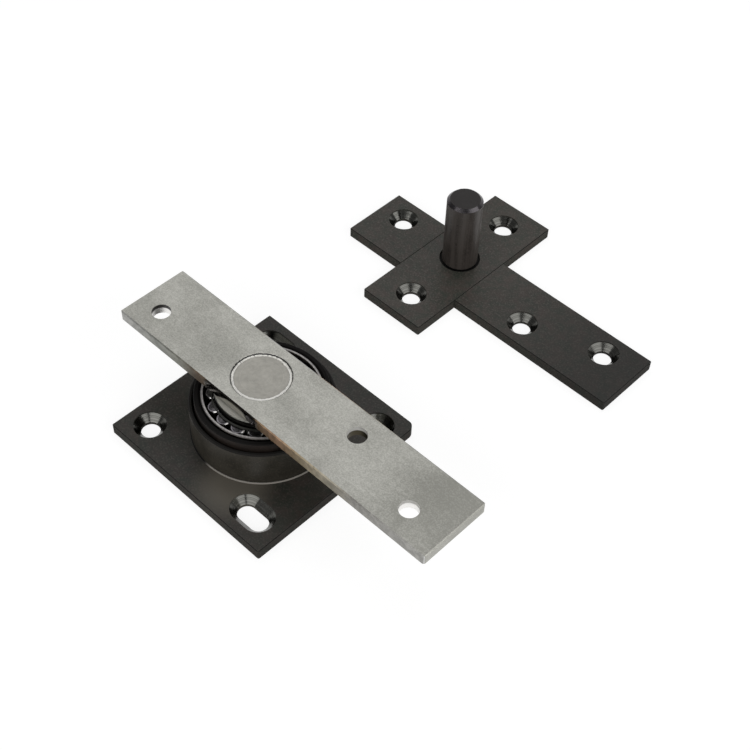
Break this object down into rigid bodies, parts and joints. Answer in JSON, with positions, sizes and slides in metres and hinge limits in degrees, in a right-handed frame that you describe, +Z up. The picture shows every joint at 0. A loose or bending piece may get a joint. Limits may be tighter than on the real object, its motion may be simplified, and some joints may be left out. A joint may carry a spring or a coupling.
{
  "type": "pivot hinge",
  "caption": "Floor-and-head pivot hinge for a door: a steel arm on a tapered roller bearing over a square floor plate, and a steel cross with a top pin.",
  "frame": {"origin": "on the bearing axis at the underside of the floor plate", "axes": "+Z up along the bearing axis; +X along the arm's long end and the upper long bar, parallel to the floor plate's edges; +Y towards the upper half"},
  "size_m": [0.1775, 0.2295, 0.0425],
  "materials": {
    "black_steel": "satin black oxide on rolled steel",
    "holder_steel": "satin black on turned steel",
    "arm_steel": "blasted bare steel, matt",
    "bearing_steel": "ground bearing steel",
    "roller_steel": "ground bearing steel, lightly oiled",
    "cage_steel": "dark pressed steel under grease"
  },
  "bodies": {
    "frame": {"floor_plate": "black_steel", "cover_sleeve": "black_steel", "bearing_holder": "holder_steel", "outer_race": "bearing_steel", "upper_long_bar": "black_steel", "upper_cross_bar": "black_steel", "top_pin": "black_steel"},
    "arm": {"arm": "arm_steel", "spindle": "arm_steel", "inner_race": "bearing_steel"},
    "cage": {"roller_cage": "cage_steel"},
    "roller_01": {"roller_01": "roller_steel"},
    "roller_02": {"roller_02": "roller_steel"},
    "roller_03": {"roller_03": "roller_steel"},
    "roller_04": {"roller_04": "roller_steel"},
    "roller_05": {"roller_05": "roller_steel"},
    "roller_06": {"roller_06": "roller_steel"},
    "roller_07": {"roller_07": "roller_steel"},
    "roller_08": {"roller_08": "roller_steel"},
    "roller_09": {"roller_09": "roller_steel"},
    "roller_10": {"roller_10": "roller_steel"},
    "roller_11": {"roller_11": "roller_steel"},
    "roller_12": {"roller_12": "roller_steel"},
    "roller_13": {"roller_13": "roller_steel"},
    "roller_14": {"roller_14": "roller_steel"},
    "roller_15": {"roller_15": "roller_steel"},
    "roller_16": {"roller_16": "roller_steel"},
    "roller_17": {"roller_17": "roller_steel"}
  },
  "joints": [
    {"name": "arm_turn", "type": "hinge", "parent": "frame", "child": "arm", "pos_m": [0, 0, 0.03175], "axis": [0, 0, 1], "continuous": true},
    {"name": "cage_turn", "type": "hinge", "parent": "frame", "child": "cage", "pos_m": [0, 0, 0.02175], "axis": [0, 0, 1], "continuous": true},
    {"name": "roller_01_spin", "type": "hinge", "parent": "cage", "child": "roller_01", "pos_m": [0.0193, 0.00458, 0.02215], "axis": [0.2042, 0.0484, 0.9777], "continuous": true},
    {"name": "roller_02_spin", "type": "hinge", "parent": "cage", "child": "roller_02", "pos_m": [0.01634, 0.01124, 0.02215], "axis": [0.1729, 0.1189, 0.9777], "continuous": true},
    {"name": "roller_03_spin", "type": "hinge", "parent": "cage", "child": "roller_03", "pos_m": [0.01118, 0.01638, 0.02215], "axis": [0.1183, 0.1734, 0.9777], "continuous": true},
    {"name": "roller_04_spin", "type": "hinge", "parent": "cage", "child": "roller_04", "pos_m": [0.0045, 0.01931, 0.02215], "axis": [0.0477, 0.2044, 0.9777], "continuous": true},
    {"name": "roller_05_spin", "type": "hinge", "parent": "cage", "child": "roller_05", "pos_m": [-0.00278, 0.01964, 0.02215], "axis": [-0.0294, 0.2078, 0.9777], "continuous": true},
    {"name": "roller_06_spin", "type": "hinge", "parent": "cage", "child": "roller_06", "pos_m": [-0.00968, 0.01731, 0.02215], "axis": [-0.1025, 0.1832, 0.9777], "continuous": true},
    {"name": "roller_07_spin", "type": "hinge", "parent": "cage", "child": "roller_07", "pos_m": [-0.01528, 0.01264, 0.02215], "axis": [-0.1617, 0.1338, 0.9777], "continuous": true},
    {"name": "roller_08_spin", "type": "hinge", "parent": "cage", "child": "roller_08", "pos_m": [-0.01881, 0.00627, 0.02215], "axis": [-0.1991, 0.0663, 0.9777], "continuous": true},
    {"name": "roller_09_spin", "type": "hinge", "parent": "cage", "child": "roller_09", "pos_m": [-0.01981, -0.00095, 0.02215], "axis": [-0.2096, -0.0101, 0.9777], "continuous": true},
    {"name": "roller_10_spin", "type": "hinge", "parent": "cage", "child": "roller_10", "pos_m": [-0.01813, -0.00804, 0.02215], "axis": [-0.1918, -0.0851, 0.9777], "continuous": true},
    {"name": "roller_11_spin", "type": "hinge", "parent": "cage", "child": "roller_11", "pos_m": [-0.014, -0.01405, 0.02215], "axis": [-0.1481, -0.1487, 0.9777], "continuous": true},
    {"name": "roller_12_spin", "type": "hinge", "parent": "cage", "child": "roller_12", "pos_m": [-0.00798, -0.01816, 0.02215], "axis": [-0.0844, -0.1922, 0.9777], "continuous": true},
    {"name": "roller_13_spin", "type": "hinge", "parent": "cage", "child": "roller_13", "pos_m": [-0.00088, -0.01981, 0.02215], "axis": [-0.0093, -0.2097, 0.9777], "continuous": true},
    {"name": "roller_14_spin", "type": "hinge", "parent": "cage", "child": "roller_14", "pos_m": [0.00634, -0.01879, 0.02215], "axis": [0.0671, -0.1989, 0.9777], "continuous": true},
    {"name": "roller_15_spin", "type": "hinge", "parent": "cage", "child": "roller_15", "pos_m": [0.0127, -0.01523, 0.02215], "axis": [0.1344, -0.1612, 0.9777], "continuous": true},
    {"name": "roller_16_spin", "type": "hinge", "parent": "cage", "child": "roller_16", "pos_m": [0.01734, -0.00962, 0.02215], "axis": [0.1836, -0.1018, 0.9777], "continuous": true},
    {"name": "roller_17_spin", "type": "hinge", "parent": "cage", "child": "roller_17", "pos_m": [0.01965, -0.0027, 0.02215], "axis": [0.2079, -0.0286, 0.9777], "continuous": true}
  ],
  "couplings": [
    {"joint": "cage_turn", "follows": "arm_turn", "ratio": 0.42175},
    {"joint": "roller_01_spin", "follows": "arm_turn", "ratio": -3.0472},
    {"joint": "roller_02_spin", "follows": "arm_turn", "ratio": -3.0472},
    {"joint": "roller_03_spin", "follows": "arm_turn", "ratio": -3.0472},
    {"joint": "roller_04_spin", "follows": "arm_turn", "ratio": -3.0472},
    {"joint": "roller_05_spin", "follows": "arm_turn", "ratio": -3.0472},
    {"joint": "roller_06_spin", "follows": "arm_turn", "ratio": -3.0472},
    {"joint": "roller_07_spin", "follows": "arm_turn", "ratio": -3.0472},
    {"joint": "roller_08_spin", "follows": "arm_turn", "ratio": -3.0472},
    {"joint": "roller_09_spin", "follows": "arm_turn", "ratio": -3.0472},
    {"joint": "roller_10_spin", "follows": "arm_turn", "ratio": -3.0472},
    {"joint": "roller_11_spin", "follows": "arm_turn", "ratio": -3.0472},
    {"joint": "roller_12_spin", "follows": "arm_turn", "ratio": -3.0472},
    {"joint": "roller_13_spin", "follows": "arm_turn", "ratio": -3.0472},
    {"joint": "roller_14_spin", "follows": "arm_turn", "ratio": -3.0472},
    {"joint": "roller_15_spin", "follows": "arm_turn", "ratio": -3.0472},
    {"joint": "roller_16_spin", "follows": "arm_turn", "ratio": -3.0472},
    {"joint": "roller_17_spin", "follows": "arm_turn", "ratio": -3.0472}
  ]
}
